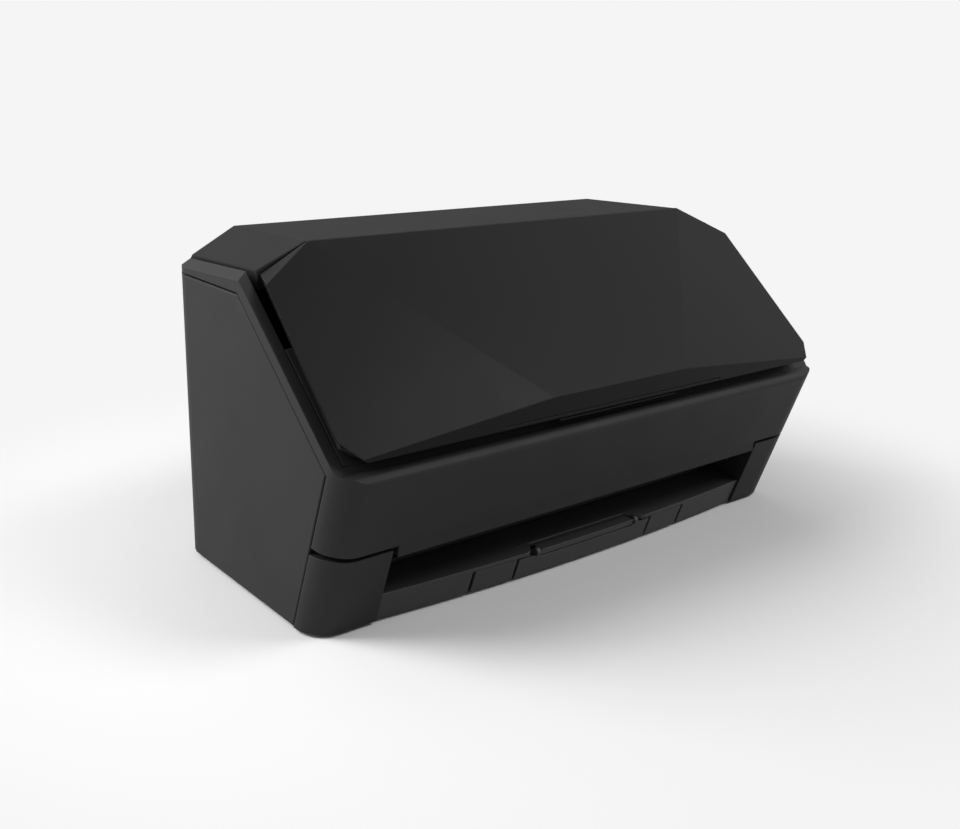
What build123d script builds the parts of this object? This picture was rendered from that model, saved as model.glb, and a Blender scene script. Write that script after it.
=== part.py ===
"""A compact sheet-fed document scanner, closed as it stands on a desk.

Front is -Y, up is +Z, and the origin lies on the desk under the middle of the body.
Three directions carry the layout: the front face leans forward, the slope carries the
folded paper chute, and the paper path drops from the opened chute to the exit slot.
"""
from build123d import *
from math import atan2, cos, degrees, radians, sin, sqrt
import os

os.makedirs("parts", exist_ok=True)

# Body
body_width = 292.0
half = body_width / 2
body_rear = 80.5
foot_height = 1.5
wall = 2.5
edge_round = 0.7
panel_inset = 0.4
seam = 0.5
touch = 0.2
running = 0.05

# Side profile
toe_y = -40.5
nose_y = -66.7
nose_z = 76.0
side_top = 134.0
side_rear = 52.5
heel_height = 15.0
heel_setback = 2.6
rear_round = 14.0
front_foot_y = -55.5
front_lean = 0.34
front_corner_radius = 14.0

# Seam between the lower front corners and the swinging front cover
corner_top = 38.2
corner_rise = 1.1
corner_ramp = 3.7
cover_bottom = 40.2
cover_side_bottom = 42.8
slot_half = half - 30.4
lip_half = slot_half - 2.3
lip_bottom = 35.0
lip_wall = 2.6

# Arms and rims
arm_width = 5.1
arm_inner = half - arm_width
arm_height = 5.5
rim_outer_top = side_top + 5.5
rim_inner_top = side_top + 8.4
rim_outer_rear_top = side_top + 2.9
rim_rear = 51.5

# Hood
hood_front = -0.5
hood_rise = 18.8
hood_crease_drop = 2.6
hood_front_z = side_top + hood_rise
hood_crease_y = 65.0
hood_crease_z = hood_front_z - hood_crease_drop
hood_crease_half = half - 32.0
hood_crease_taper = 1.5
hood_half = half - 7.2
hood_side_front = -3.6
hood_side_z = side_top + 9.3
hood_corner_y = 53.7
hood_corner_z = side_top + 7.4
hood_wall = 2.2
hood_lean = 3.0

# Lid
lid_gap = 1.4
lid_top_half = half - 31.8
lid_top_height = 15.7
lid_top_slope = -10.6
lid_upper_half = half - 5.7
lid_upper_slope = 6.5
lid_edge_height = 13.2
lid_lower_half = half - 2.5
lid_lower_slope = 82.1
lid_bottom_half = half - 11.1
lid_bottom_slope = 92.3
lid_bottom_height = 12.4
crease_half = 41.1
crease_slope = 86.1
crease_height = 20.2
lid_underside = 7.0
lid_plate = 1.7
lid_skin = 1.6
undercut = 2.4
plate_inset = undercut + 0.8

# Lid hinge
pivot_slope = 14.5
pivot_height = 10.0
lid_swing = 153.0
relief_radius = 26.5
relief_end_radius = 16.0
lid_pin_radius = 1.2
knuckle_radius = 2.2
bracket_inner = half - 28.4
bracket_outer = half - 22.0

# Front cover hinge
cover_wall = 2.2
cover_pivot_z = 42.0
cover_pivot_depth = 5.2
cover_pin_radius = 1.3
cover_ear_radius = 2.6
cover_ear_neck = 1.6
cover_ear_inner = half - 20.0
cover_ear_outer = half - 15.5
lug_width = 3.0
lug_inner = cover_ear_inner - seam - lug_width
lug_outer = cover_ear_outer + seam + lug_width

# Paper path: rollers and sensors in their order down the path
path_gap = 3.0
guide_thick = 2.0
guide_half = half - 24.0
mouth_slope = 46.0
pick_along = 30.0
feed_along = pick_along + 16.0
sensor_from = feed_along + 8.5
sensor_to = sensor_from + 11.0
exit_along = sensor_to + 8.5
path_length = exit_along + 8.0

# Frame and drive
frame_inner = half - 20.0
frame_outer = frame_inner + 2.0
pulley_from = frame_outer + 2.5
pulley_to = pulley_from + 6.0

# Height of the blocks that the leaning fronts are cut from, clear above the hood
block_top = hood_front_z + 7.2

slope_angle = degrees(atan2(side_top - nose_z, -nose_y))
path_angle = 180 + slope_angle + 180 - lid_swing


def on_slope(along, height):
    """Point in the side view: along runs down the slope from the side panels' top corner."""
    a = radians(slope_angle)
    return (-along * cos(a) - height * sin(a), side_top - along * sin(a) + height * cos(a))


def front_y(z):
    """The front face's Y at a height."""
    return front_foot_y - front_lean * (z - foot_height)


def seam_y(z):
    """The side panel's front edge at a height."""
    return toe_y + (nose_y - toe_y) * (z - foot_height) / (nose_z - foot_height)


pivot_y, pivot_z = on_slope(pivot_slope, pivot_height)


def on_path(along, height):
    """Point in the side view: along runs down the paper path from the opened lid's lower end."""
    a = radians(path_angle)
    start = pivot_height - lid_underside
    reach = pivot_slope + 3.6 + along
    return (pivot_y + reach * cos(a) + (start + height) * sin(a),
            pivot_z + reach * sin(a) - (start + height) * cos(a))


def side_face(points, x):
    """A closed outline in the side view, standing at a given X."""
    with BuildSketch(Plane.YZ.offset(x)) as outline:
        with BuildLine():
            Polyline(*points, close=True)
        make_face()
    return outline.sketch


def plan_face(points, z):
    """A closed outline seen from above, lying at a given height."""
    with BuildSketch(Plane.XY.offset(z)) as outline:
        with BuildLine():
            Polyline(*points, close=True)
        make_face()
    return outline.sketch


def outer_plane(a, b, c, inside):
    """The plane through three points, facing away from a point inside the piece."""
    normal = (Vector(*b) - Vector(*a)).cross(Vector(*c) - Vector(*a))
    if normal.dot(Vector(*inside) - Vector(*a)) > 0:
        normal = normal * -1
    return Plane(origin=a, z_dir=normal)


def prism(points, x_from, x_to, mode=Mode.ADD):
    """A side-view outline run from one X to another."""
    extrude(side_face(points, x_from), amount=x_to - x_from, mode=mode)


def slope_bar(along_from, along_to, low, high, x_from, x_to, mode=Mode.ADD):
    """A bar that lies square to the slope."""
    prism([on_slope(along_from, low), on_slope(along_to, low), on_slope(along_to, high),
           on_slope(along_from, high)], x_from, x_to, mode)


def path_bar(along_from, along_to, low, high, x_from, x_to, mode=Mode.ADD):
    """A bar that lies square to the paper path."""
    prism([on_path(along_from, low), on_path(along_to, low), on_path(along_to, high),
           on_path(along_from, high)], x_from, x_to, mode)


def box(x_from, x_to, y_from, y_to, z_from, z_to, mode=Mode.ADD):
    """An upright box between limits."""
    extrude(plan_face([(x_from, y_from), (x_to, y_from), (x_to, y_to), (x_from, y_to)], z_from),
            amount=z_to - z_from, mode=mode)


def rod(center, radius, x_from, x_to, mode=Mode.ADD):
    """A round bar along X about a point of the side view."""
    with BuildSketch(Plane.YZ.offset(x_from)) as disc:
        with Locations(center):
            Circle(radius)
    extrude(disc.sketch, amount=x_to - x_from, mode=mode)


def leaning_block(z_from, z_to, inset):
    """The body's rounded front, leaning forward, drawn in by a wall."""
    front = front_y(z_from) + inset * sqrt(1 + front_lean ** 2)
    with BuildPart() as block:
        with BuildSketch(Plane.XY.offset(z_from)):
            with Locations((0, front + body_width)):
                RectangleRounded(body_width - 2 * inset, 2 * body_width, front_corner_radius - inset)
        extrude(amount=(z_to - z_from) * sqrt(1 + front_lean ** 2), dir=(0, -front_lean, 1))
    return block.part


# Plan of the whole body, with the cut rear corners rounded off
rear_sum = half + side_rear
with BuildPart() as body_plan:
    with BuildSketch(Plane.XY):
        with BuildLine():
            Polyline((-half, -half), (half, -half), (half, side_rear), (rear_sum - body_rear, body_rear),
                     (body_rear - rear_sum, body_rear), (-half, side_rear), close=True)
        face = make_face()
        fillet(face.vertices().filter_by(lambda v: abs(v.Y - side_rear) < 1), rear_round)
    extrude(amount=block_top)

# Bottom cover: the floor plate and the two rounded lower front corners
cover_pivot = (front_y(cover_pivot_z) + cover_pivot_depth * sqrt(1 + front_lean ** 2), cover_pivot_z)
bay_wall_rear = -16.0
bay_wall_top = 30.0
floor_front = -38.0
corner_seam_shift = seam - touch
corner_high = corner_top + corner_rise
corner_side = [(front_y(foot_height), foot_height), (front_y(corner_top), corner_top),
               (front_y(corner_top) + corner_ramp, corner_high),
               (seam_y(corner_high) + corner_seam_shift, corner_high),
               (seam_y(foot_height) + corner_seam_shift, foot_height)]
corner_low = foot_height + wall
corner_inside = [(-100, corner_low), (-100, corner_top - wall), (0, corner_top - wall), (0, corner_low)]
round_front = leaning_block(foot_height, 60, 0)
round_front_inside = leaning_block(foot_height, 60, wall)
with BuildPart() as corner_hollow:
    prism(corner_inside, slot_half + wall, half)
    add(round_front_inside, mode=Mode.INTERSECT)
with BuildPart() as front_corner:
    prism(corner_side, slot_half, half)
    add(round_front, mode=Mode.INTERSECT)
    add(corner_hollow.part, mode=Mode.SUBTRACT)
    # Bay wall behind the corner, and the floor that ties the corner in
    box(slot_half, slot_half + wall, seam_y(foot_height) - 8, bay_wall_rear, foot_height, bay_wall_top)
    box(slot_half, half - wall, seam_y(foot_height) - 2, floor_front + 1, foot_height, corner_low)
    # Ear that carries the front cover's hinge pin
    rod(cover_pivot, cover_ear_radius, cover_ear_inner, cover_ear_outer)
    box(cover_ear_inner, cover_ear_outer, cover_pivot[0] - cover_ear_neck,
        cover_pivot[0] + cover_ear_radius, corner_top - 1, cover_pivot_z)
    rod(cover_pivot, cover_pin_radius + running, cover_ear_inner, cover_ear_outer, Mode.SUBTRACT)

floor_rear = body_rear - wall - touch
floor_sum = rear_sum - (wall + touch) * sqrt(2)
floor_half = half - wall
foot_spots = [(28.0 - half, -30), (half - 28.0, -30), (46.0 - half, 60), (half - 46.0, 60)]
foot_radius = 7.0
foot_recess = 1.0
screw_side = half - 6.6
screw_spots = [(-screw_side, -20), (screw_side, -20), (-screw_side, 30), (screw_side, 30), (-60, 68),
               (60, 68)]
screw_radius = 1.5
screw_head_radius = 3.0
screw_head = 1.0
upright = (Align.CENTER, Align.CENTER, Align.MIN)
with BuildPart() as bottom_cover:
    extrude(plan_face([(-floor_half, floor_front), (floor_half, floor_front),
                       (floor_half, floor_sum - floor_half), (floor_sum - floor_rear, floor_rear),
                       (floor_rear - floor_sum, floor_rear), (-floor_half, floor_sum - floor_half)],
                      foot_height), amount=wall)
    add(front_corner.part)
    add(front_corner.part.mirror(Plane.YZ))
    with Locations(*[(x, y, foot_height) for x, y in foot_spots]):
        Cylinder(foot_radius + touch, foot_recess, align=upright, mode=Mode.SUBTRACT)
    with Locations(*[(x, y, foot_height) for x, y in screw_spots]):
        Cylinder(screw_radius + touch, wall, align=upright, mode=Mode.SUBTRACT)
        Cylinder(screw_head_radius + touch, screw_head + touch, align=upright, mode=Mode.SUBTRACT)
bottom_cover.part.label = "bottom_cover"

with BuildPart() as rubber_feet:
    with Locations(*[(x, y, 0) for x, y in foot_spots]):
        Cylinder(foot_radius, foot_height + foot_recess, align=upright)
rubber_feet.part.label = "rubber_feet"

with BuildPart() as bottom_screws:
    with Locations(*[(x, y, foot_height + touch) for x, y in screw_spots]):
        Cylinder(screw_head_radius, screw_head, align=upright)
        Cylinder(screw_radius, 8.0, align=upright)
bottom_screws.part.label = "bottom_screws"

# Side panels
panel_face = side_face([(toe_y + seam, foot_height),
                        (nose_y + seam, nose_z + seam * (side_top - nose_z) / -nose_y),
                        (0, side_top), (side_rear, side_top), (side_rear, heel_height),
                        (side_rear - heel_setback, foot_height)], half - wall)
with BuildPart() as right_side_panel:
    extrude(offset(panel_face, -panel_inset, kind=Kind.INTERSECTION, mode=Mode.PRIVATE), amount=wall)
    fillet(right_side_panel.faces().sort_by(Axis.X)[-1].edges(), edge_round)
    add(body_plan.part, mode=Mode.INTERSECT)
right_side_panel.part.label = "right_side_panel"
with BuildPart() as left_side_panel:
    mirror(right_side_panel.part, about=Plane.YZ)
left_side_panel.part.label = "left_side_panel"

# Rear cover: the back wall with its two cut corners, ports and vents
jack_x = -84.0
usb_x = -58.0
port_z = 26.0
jack_barrel = 4.2
jack_bore = 2.8
usb_width = 12.0
usb_height = 11.0
lock_x = 96.0
vent_count = 14
vent_pitch = 7.0
vent_z = 92.0
vent_height = 26.0
rear_screw_spots = [(-100, 14), (100, 14), (-100, 122), (100, 122)]
rear_inner_sum = rear_sum - wall * sqrt(2)
rear_wall_plan = [(-half, side_rear + touch), (touch - half + wall, side_rear + touch),
                  (touch - half + wall, rear_inner_sum - half + wall),
                  (body_rear - wall - rear_inner_sum, body_rear - wall),
                  (rear_inner_sum - body_rear + wall, body_rear - wall),
                  (half - wall - touch, rear_inner_sum - half + wall),
                  (half - wall - touch, side_rear + touch), (half, side_rear + touch),
                  (rear_sum - body_rear, body_rear), (body_rear - rear_sum, body_rear)]
with BuildPart() as rear_cover:
    extrude(plan_face(rear_wall_plan, foot_height), amount=side_top - foot_height)
    add(body_plan.part, mode=Mode.INTERSECT)
    with BuildSketch(Plane(origin=(0, body_rear, 0), x_dir=(-1, 0, 0), z_dir=(0, 1, 0))):
        with Locations((-jack_x, port_z)):
            Circle(jack_barrel + touch)
        with Locations((-usb_x, port_z)):
            Rectangle(usb_width + 2 * touch, usb_height + 2 * touch)
        with Locations((-lock_x, port_z)):
            SlotOverall(7.0, 3.2)
        with Locations((0, vent_z)):
            with GridLocations(vent_pitch, 1, vent_count, 1):
                SlotOverall(vent_height, 2.6, rotation=90)
        with Locations(*rear_screw_spots):
            Circle(screw_radius + touch)
    extrude(amount=-wall, mode=Mode.SUBTRACT)
    with BuildSketch(Plane(origin=(0, body_rear, 0), x_dir=(-1, 0, 0), z_dir=(0, 1, 0))):
        with Locations(*rear_screw_spots):
            Circle(screw_head_radius + touch)
    extrude(amount=-screw_head - touch, mode=Mode.SUBTRACT)
rear_cover.part.label = "rear_cover"

with BuildPart() as rear_screws:
    for x, z in rear_screw_spots:
        with BuildSketch(Plane(origin=(x, body_rear - touch, z), x_dir=(-1, 0, 0), z_dir=(0, 1, 0))):
            Circle(screw_head_radius)
        extrude(amount=-screw_head)
        with BuildSketch(Plane(origin=(x, body_rear - touch, z), x_dir=(-1, 0, 0), z_dir=(0, 1, 0))):
            Circle(screw_radius)
        extrude(amount=-8.0)
rear_screws.part.label = "rear_screws"


# Hood: the faceted top behind the lid, hollow, with a curved wall the lid's tail turns into
def lid_relief(grow, reach=half):
    """The room that the lid's tail sweeps: a drum about the hinge line with tapered ends."""
    taper = (relief_radius - relief_end_radius) / (lid_upper_half - lid_top_half)
    end_radius = relief_radius - taper * (reach - lid_top_half) + grow
    with BuildPart() as room:
        with BuildSketch(Plane(origin=(0, pivot_y, pivot_z), x_dir=(1, 0, 0), z_dir=(0, -1, 0))):
            with BuildLine():
                Polyline((-reach, 0), (-reach, end_radius), (-lid_top_half, relief_radius + grow),
                         (lid_top_half, relief_radius + grow), (reach, end_radius), (reach, 0),
                         close=True)
            make_face()
        revolve(axis=Axis((0, pivot_y, pivot_z), (1, 0, 0)))
    return room.part


def hood_block(inset):
    """The hood's outer body, drawn in by a wall on every side but the underside."""
    side = hood_half - inset
    rear = body_rear - inset
    cut = rear_sum - inset * sqrt(2)
    low = side_top + touch
    inside = (0, hood_crease_y, side_top)
    crease_end = hood_crease_half - hood_crease_taper
    with BuildPart() as block:
        extrude(plan_face([(-hood_half - 1, hood_side_front - 0.1), (-hood_crease_half, hood_front),
                           (hood_crease_half, hood_front), (hood_half + 1, hood_side_front - 0.1),
                           (side, cut - side), (cut - rear, rear), (rear - cut, rear),
                           (-side, cut - side)], low), amount=30)
        for facet in (
                outer_plane((hood_crease_half, hood_front, hood_front_z),
                            (-hood_crease_half, hood_front, hood_front_z),
                            (0, hood_crease_y, hood_crease_z), inside),
                outer_plane((-10, hood_crease_y, hood_crease_z), (10, hood_crease_y, hood_crease_z),
                            (0, body_rear, low), inside),
                outer_plane((hood_crease_half, hood_front, hood_front_z),
                            (crease_end, hood_crease_y, hood_crease_z),
                            (hood_half, hood_side_front, hood_side_z), inside),
                outer_plane((-hood_crease_half, hood_front, hood_front_z),
                            (-crease_end, hood_crease_y, hood_crease_z),
                            (-hood_half, hood_side_front, hood_side_z), inside),
                outer_plane((hood_half, hood_corner_y, hood_corner_z),
                            (crease_end, hood_crease_y, hood_crease_z),
                            (rear_sum - body_rear, body_rear, low), inside),
                outer_plane((-hood_half, hood_corner_y, hood_corner_z),
                            (-crease_end, hood_crease_y, hood_crease_z),
                            (body_rear - rear_sum, body_rear, low), inside)):
            split(bisect_by=facet.offset(-inset), keep=Keep.BOTTOM)
        # Side walls, which lean in below the facets' edges
        for hand in (1, -1):
            facet = outer_plane((hand * hood_half, hood_side_front, hood_side_z),
                                (hand * hood_half, hood_corner_y, hood_corner_z),
                                (hand * (hood_half - hood_lean), 0, side_top), inside)
            split(bisect_by=facet.offset(-inset), keep=Keep.BOTTOM)
    return block.part


with BuildPart() as hood_hollow:
    add(hood_block(hood_wall))
    add(lid_relief(hood_wall), mode=Mode.SUBTRACT)
with BuildPart() as hood:
    add(hood_block(0))
    fillet(hood.edges().filter_by(lambda e: max((e @ 0).Z, (e @ 1).Z) > side_top + 1), edge_round)
    add(lid_relief(0), mode=Mode.SUBTRACT)
    add(hood_hollow.part, mode=Mode.SUBTRACT)
hood.part.label = "hood"

# Front cover: front wall, side corners, arms along the slope and rims beside the hood
cover_face_top = nose_z - 1.0
cover_top_setback = 3.19
cover_top_wall = 3.9
cover_top_round = 3.0
lip_flare = 1.1
lip_flare_height = 4.2
lip_end_slope = 92.2
deck_front_slope = 88.5
cover_side_ramp = cover_bottom + corner_rise
cover_top_y = front_y(cover_face_top) + cover_top_setback
cover_points = [(front_y(cover_bottom), cover_bottom), (front_y(cover_face_top), cover_face_top),
                (cover_top_y, on_slope(lip_end_slope, arm_height)[1]), on_slope(lip_end_slope, arm_height),
                on_slope(deck_front_slope, arm_height), on_slope(deck_front_slope, seam),
                (seam_y(nose_z - 0.1), nose_z - 0.1), (seam_y(cover_side_bottom), cover_side_bottom),
                (front_y(cover_bottom) + corner_ramp, cover_side_ramp)]
full_round = leaning_block(foot_height, block_top, 0)
with BuildPart() as cover_hollow:
    prism([(-block_top, foot_height), (-block_top, nose_z - 0.6),
           (cover_top_y + cover_top_wall, nose_z - 0.6),
           on_slope(deck_front_slope - 1.3, arm_height - 2.6), on_slope(deck_front_slope - 2.5, -6),
           (0, nose_z - 16), (0, foot_height)], -half, half)
    add(leaning_block(foot_height, block_top, cover_wall), mode=Mode.INTERSECT)
with BuildPart() as right_arm:
    prism([on_slope(91, seam), on_slope(91, arm_height), on_slope(-30, arm_height),
           (rim_rear, block_top), (rim_rear, side_top + 0.4), (-0.3, side_top + 0.4)], arm_inner, half)
    split(bisect_by=outer_plane((half, 0, rim_outer_top), (half, rim_rear, rim_outer_rear_top),
                                (arm_inner, 0, rim_inner_top), (half, 0, side_top)),
          keep=Keep.BOTTOM)
    add(body_plan.part, mode=Mode.INTERSECT)
with BuildPart() as front_cover:
    prism(cover_points, -half, half)
    fillet(front_cover.edges().filter_by(Axis.X).filter_by(
        lambda e: e.center().Z > cover_face_top - 0.5 and e.center().Y < cover_top_y + 0.1), cover_top_round)
    add(cover_hollow.part, mode=Mode.SUBTRACT)
    add(right_arm.part)
    add(right_arm.part.mirror(Plane.YZ))
    add(full_round, mode=Mode.INTERSECT)
    # Lower lip over the paper outlet, its edge flared forward
    prism([(front_y(lip_bottom) - lip_flare, lip_bottom),
           (front_y(lip_bottom + lip_flare_height), lip_bottom + lip_flare_height),
           (front_y(cover_bottom + 0.3), cover_bottom + 0.3),
           (front_y(cover_bottom + 0.3) + lip_wall, cover_bottom + 0.3),
           (front_y(lip_bottom) + lip_wall, lip_bottom + 0.6)], -lip_half, lip_half)
    # Lugs on both sides of each hinge ear
    for x_from in (lug_inner, cover_ear_outer + seam):
        for side in (1, -1):
            with BuildSketch(Plane.YZ.offset(side * x_from)) as lug:
                with Locations(cover_pivot):
                    Circle(2.4)
                with BuildLine():
                    Polyline((cover_pivot[0] + 2.3, cover_pivot_z + 0.5),
                             (cover_pivot[0] - 2.3, cover_pivot_z - 0.5),
                             (front_y(cover_pivot_z) + 1.2, cover_pivot_z + 1.5),
                             (front_y(cover_pivot_z + 7) + 1.2, cover_pivot_z + 7), close=True)
                make_face()
                with Locations(cover_pivot):
                    Circle(cover_pin_radius, mode=Mode.SUBTRACT)
            extrude(lug.sketch, amount=side * lug_width)
front_cover.part.label = "front_cover"

with BuildPart() as cover_pivot_pins:
    rod(cover_pivot, cover_pin_radius, lug_inner, lug_outer)
    rod(cover_pivot, cover_pin_radius, -lug_outer, -lug_inner)
cover_pivot_pins.part.label = "cover_pivot_pins"


# Lid: a faceted shell over a flat inner plate
def lid_spot(x, along, height):
    """A point in space from its place on the lid."""
    y, z = on_slope(along, height)
    return (x, y, z)


def lid_block(inset):
    """The lid's faceted body above its inner plate, drawn in by a wall."""
    base = Plane(origin=lid_spot(0, 0, lid_underside + lid_plate), x_dir=(1, 0, 0),
                 z_dir=(0, -sin(radians(slope_angle)), cos(radians(slope_angle))))
    inside = lid_spot(0, 40, 10)
    lid_rear = hood_front - lid_gap
    skew = (hood_front - hood_side_front) / (hood_half - hood_crease_half)
    facets = [
        outer_plane(lid_spot(0, lid_top_slope, lid_top_height), lid_spot(10, lid_top_slope, lid_top_height),
                    lid_spot(0, crease_slope, crease_height), inside),
        outer_plane(lid_spot(0, crease_slope, crease_height), lid_spot(10, crease_slope, crease_height),
                    lid_spot(0, lid_bottom_slope, lid_bottom_height), inside),
        outer_plane((0, lid_rear, 0), (10, lid_rear, 0), (0, lid_rear, 10), inside)]
    facets.append(outer_plane(lid_spot(0, lid_bottom_slope, lid_bottom_height),
                              lid_spot(10, lid_bottom_slope, lid_bottom_height),
                              lid_spot(0, lid_bottom_slope - undercut, lid_underside + lid_plate), inside))
    for side in (1, -1):
        facets.append(outer_plane(lid_spot(side * lid_upper_half, lid_upper_slope, lid_edge_height),
                                  lid_spot(side * lid_lower_half, lid_lower_slope, lid_edge_height),
                                  lid_spot(side * (lid_lower_half - undercut), lid_lower_slope,
                                           lid_underside + lid_plate), inside))
        facets.append(outer_plane(lid_spot(side * lid_lower_half, lid_lower_slope, lid_edge_height),
                                  lid_spot(side * lid_bottom_half, lid_bottom_slope, lid_bottom_height),
                                  lid_spot(side * (lid_bottom_half - undercut), lid_bottom_slope - undercut,
                                           lid_underside + lid_plate), inside))
        facets.append(outer_plane(lid_spot(side * lid_top_half, lid_top_slope, lid_top_height),
                                  lid_spot(side * crease_half, crease_slope, crease_height),
                                  lid_spot(side * lid_lower_half, lid_lower_slope, lid_edge_height),
                                  inside))
        facets.append(outer_plane(lid_spot(side * lid_top_half, lid_top_slope, lid_top_height),
                                  lid_spot(side * lid_upper_half, lid_upper_slope, lid_edge_height),
                                  lid_spot(side * lid_upper_half, 0, lid_underside + lid_plate), inside))
        facets.append(outer_plane((side * hood_crease_half, lid_rear, 0),
                                  (side * hood_crease_half, lid_rear, 10),
                                  (side * (hood_crease_half + 10), lid_rear - 10 * skew, 0), inside))
    with BuildPart() as block:
        with BuildSketch(base):
            with BuildLine():
                Polyline((-lid_bottom_half, -lid_bottom_slope), (lid_bottom_half, -lid_bottom_slope),
                         (lid_lower_half, -lid_lower_slope), (lid_upper_half, -lid_upper_slope),
                         (lid_upper_half - 1.1, 16), (1.1 - lid_upper_half, 16),
                         (-lid_upper_half, -lid_upper_slope), (-lid_lower_half, -lid_lower_slope),
                         close=True)
            make_face()
            offset(amount=1 - inset, kind=Kind.INTERSECTION, mode=Mode.REPLACE)
        extrude(amount=16)
        for facet in facets:
            split(bisect_by=facet.offset(-inset), keep=Keep.BOTTOM)
    return block.part


window_half = 67.7
window_from = lid_bottom_slope - 7.3
window_to = lid_bottom_slope + 7.7
handle_rise = 0.9
window_top = lid_bottom_height + handle_rise + 0.3
notch_inner = bracket_inner - 0.4
notch_outer = bracket_outer + 0.3
lid_floor = lid_underside + lid_plate
with BuildPart() as lid_shell:
    add(lid_block(0))
    add(lid_block(lid_skin), mode=Mode.SUBTRACT)
    slope_bar(window_from, window_to, lid_floor, window_top, -window_half, window_half, Mode.SUBTRACT)
    slope_bar(-20, 6, lid_floor, 12.6, notch_inner, notch_outer, Mode.SUBTRACT)
    slope_bar(-20, 6, lid_floor, 12.6, -notch_outer, -notch_inner, Mode.SUBTRACT)
lid_shell.part.label = "lid_shell"

# Inner plate, the lid's paper side, with the ears that hold the hinge pins
plate_rear = -3.6
notch_front = 35.5
rack_low = 9.0
rack_high = 10.9
left_slot = (4.0, 8.0)
right_slot = (14.0, 18.0)
guide_travel = 78.0
stem_outer = half - 38.0
stem_inner = stem_outer - 4.5
slot_inner = stem_inner - guide_travel
slot_outer = stem_outer + 0.5
ear_inner = half - 32.5
ear_outer = half - 18.0
pivot = (pivot_y, pivot_z)
with BuildPart() as lid_inner_plate:
    with BuildSketch(Plane(origin=lid_spot(0, 0, lid_underside), x_dir=(1, 0, 0),
                           z_dir=(0, -sin(radians(slope_angle)), cos(radians(slope_angle))))):
        with BuildLine():
            Polyline((-lid_bottom_half + plate_inset, plate_inset - lid_bottom_slope),
                     (lid_bottom_half - plate_inset, plate_inset - lid_bottom_slope),
                     (lid_lower_half - plate_inset, 0.4 - lid_lower_slope),
                     (lid_upper_half - plate_inset, -lid_upper_slope),
                     (lid_upper_half - plate_inset - 0.2, -1.5),
                     (lid_top_half, -plate_rear), (-lid_top_half, -plate_rear),
                     (0.2 + plate_inset - lid_upper_half, -1.5),
                     (plate_inset - lid_upper_half, -lid_upper_slope),
                     (plate_inset - lid_lower_half, 0.4 - lid_lower_slope), close=True)
        make_face()
    extrude(amount=lid_plate)
    slope_bar(-20, notch_front, 0, lid_floor + 1, notch_inner, notch_outer, Mode.SUBTRACT)
    slope_bar(-20, notch_front, 0, lid_floor + 1, -notch_outer, -notch_inner, Mode.SUBTRACT)
    slope_bar(*left_slot, 0, lid_floor + 1, -slot_outer, -slot_inner, Mode.SUBTRACT)
    slope_bar(*right_slot, 0, lid_floor + 1, slot_inner, slot_outer, Mode.SUBTRACT)
    for x_from, x_to in ((ear_inner, notch_inner - touch), (notch_outer + touch, ear_outer)):
        slope_bar(pivot_slope - 2.4, pivot_slope + 2.4, lid_underside, pivot_height + 2.0, x_from, x_to)
        slope_bar(pivot_slope - 2.4, pivot_slope + 2.4, lid_underside, pivot_height + 2.0, -x_to, -x_from)
        rod(pivot, lid_pin_radius, x_from, x_to, Mode.SUBTRACT)
        rod(pivot, lid_pin_radius, -x_to, -x_from, Mode.SUBTRACT)
lid_inner_plate.part.label = "lid_inner_plate"

with BuildPart() as lid_hinge_pins:
    rod(pivot, lid_pin_radius, ear_inner + 0.1, ear_outer)
    rod(pivot, lid_pin_radius, -ear_outer, -ear_inner - 0.1)
lid_hinge_pins.part.label = "lid_hinge_pins"

# Paper side guides, their racks and the pinion that makes them move together
guide_reach = half - 33.5
guide_wall = 2.0
guide_points = [on_slope(-2.5, 6.7), on_slope(30, 6.7), on_slope(27, -2), on_slope(-0.5, -2)]


def side_guide(slot):
    """The right-hand guide: fence, foot under the plate, stem through its slot and rack above."""
    with BuildPart() as guide:
        prism(guide_points, guide_reach - guide_wall, guide_reach)
        slope_bar(-2.0, 29.0, 5.3, 6.7, guide_reach - 16.5, guide_reach)
        slope_bar(slot[0] + 0.5, slot[1] - 0.5, 5.3, rack_high, stem_inner, stem_outer)
        slope_bar(*slot, rack_low, rack_high, -8.0, stem_outer)
    return guide.part


pinion_slope = 11.0
pinion_radius = 2.8
pinion_axle = 1.3
with BuildPart() as side_guide_right:
    add(side_guide(right_slot))
side_guide_right.part.label = "side_guide_right"
with BuildPart() as side_guide_left:
    mirror(side_guide(left_slot), about=Plane.YZ)
side_guide_left.part.label = "side_guide_left"

pinion_plane = Plane(origin=lid_spot(0, pinion_slope, lid_floor + touch), x_dir=(1, 0, 0),
                     z_dir=(0, -sin(radians(slope_angle)), cos(radians(slope_angle))))
with BuildPart() as guide_pinion:
    with BuildSketch(pinion_plane):
        Circle(pinion_radius)
        with PolarLocations(pinion_radius, 10):
            Circle(0.35, mode=Mode.SUBTRACT)
    extrude(amount=2.2)
    with BuildSketch(pinion_plane):
        Circle(pinion_axle)
    extrude(amount=-lid_plate)
guide_pinion.part.label = "guide_pinion"
with BuildPart() as pinion_bore:
    with BuildSketch(pinion_plane):
        Circle(pinion_axle + running)
    extrude(amount=-lid_plate - 1)
lid_inner_plate.part = lid_inner_plate.part - pinion_bore.part
lid_inner_plate.part.label = "lid_inner_plate"

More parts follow.
